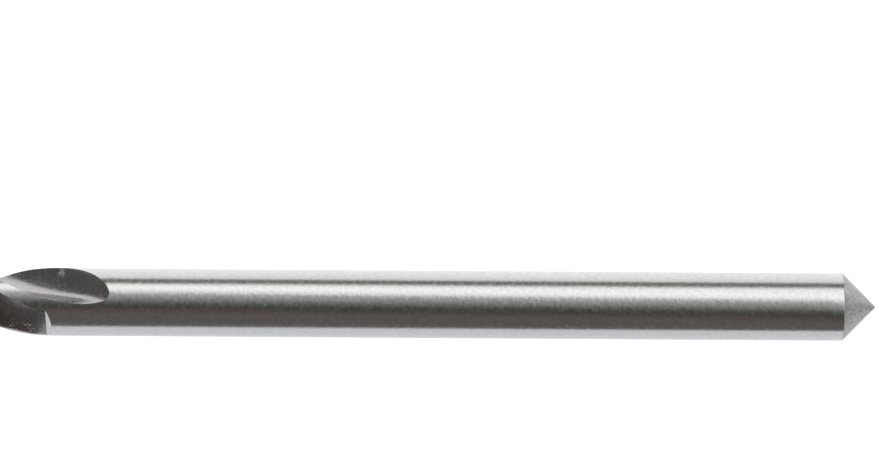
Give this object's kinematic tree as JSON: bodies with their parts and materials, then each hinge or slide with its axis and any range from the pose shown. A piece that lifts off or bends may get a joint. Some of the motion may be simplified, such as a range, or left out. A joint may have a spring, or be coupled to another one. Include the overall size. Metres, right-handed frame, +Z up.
{
  "type": "twist drill bit",
  "caption": "Slim two-flute metal drill bit with a plain round shank, coned shank end, helical flutes and a ground cutting point.",
  "frame": {"origin": "bottom centre of the drill's box, on the surface that it lies on, below its axis and halfway along it", "axes": "+X along the drill's axis from the cutting point to the coned shank end, +Z up from the surface, +Y to the side"},
  "size_m": [0.057, 0.0024, 0.0024],
  "materials": {
    "tool_steel": "ground high-speed steel, satin bright, duller on the coned end"
  },
  "bodies": {
    "root": {"twist_drill": "tool_steel"}
  },
  "joints": []
}
